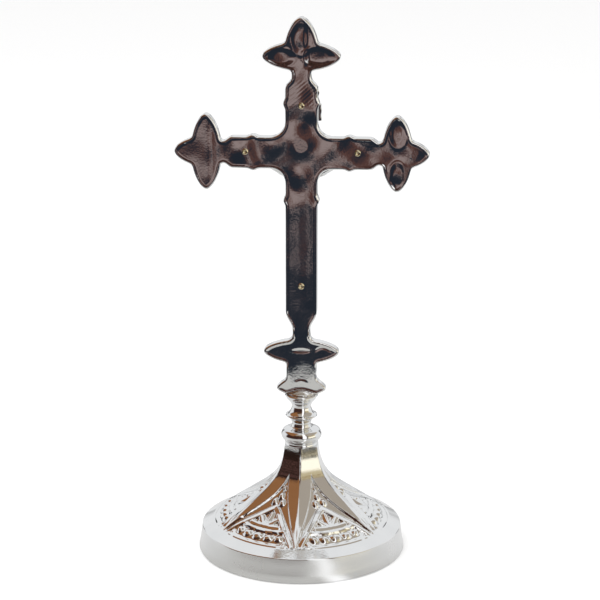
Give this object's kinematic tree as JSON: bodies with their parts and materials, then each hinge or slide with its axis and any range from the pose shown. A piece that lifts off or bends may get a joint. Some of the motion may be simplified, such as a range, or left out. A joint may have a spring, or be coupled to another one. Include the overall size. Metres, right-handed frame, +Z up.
{
  "type": "altar cross",
  "caption": "Standing altar cross in bright plated metal, with a small figure and a blank scroll on the front, a turned stem and a six-sided ornamented foot on a round base.",
  "frame": {"origin": "centre of the underside of the felt, on the table", "axes": "+Z up, the arms along X, the figure on the front facing -Y, the plain riveted back facing +Y"},
  "size_m": [0.138, 0.1152, 0.3],
  "materials": {
    "plated_metal": "bright nickel plate over a zinc casting, polished",
    "brass_rivets": "peened brass, bright",
    "plain_steel": "turned and zinc plated, slightly dull",
    "base_felt": "dark green wool felt"
  },
  "bodies": {
    "root": {"foot_casting": "plated_metal", "knop": "plated_metal", "collar": "plated_metal", "cup": "plated_metal", "cross_casting": "plated_metal", "corpus": "plated_metal", "titulus_scroll": "plated_metal", "hand_rivets": "brass_rivets", "feet_rivet": "brass_rivets", "titulus_rivet": "brass_rivets", "tie_rod": "plain_steel", "foot_washer": "plain_steel", "foot_nut": "plain_steel", "closing_plate": "plain_steel", "felt_pad": "base_felt"}
  },
  "joints": []
}
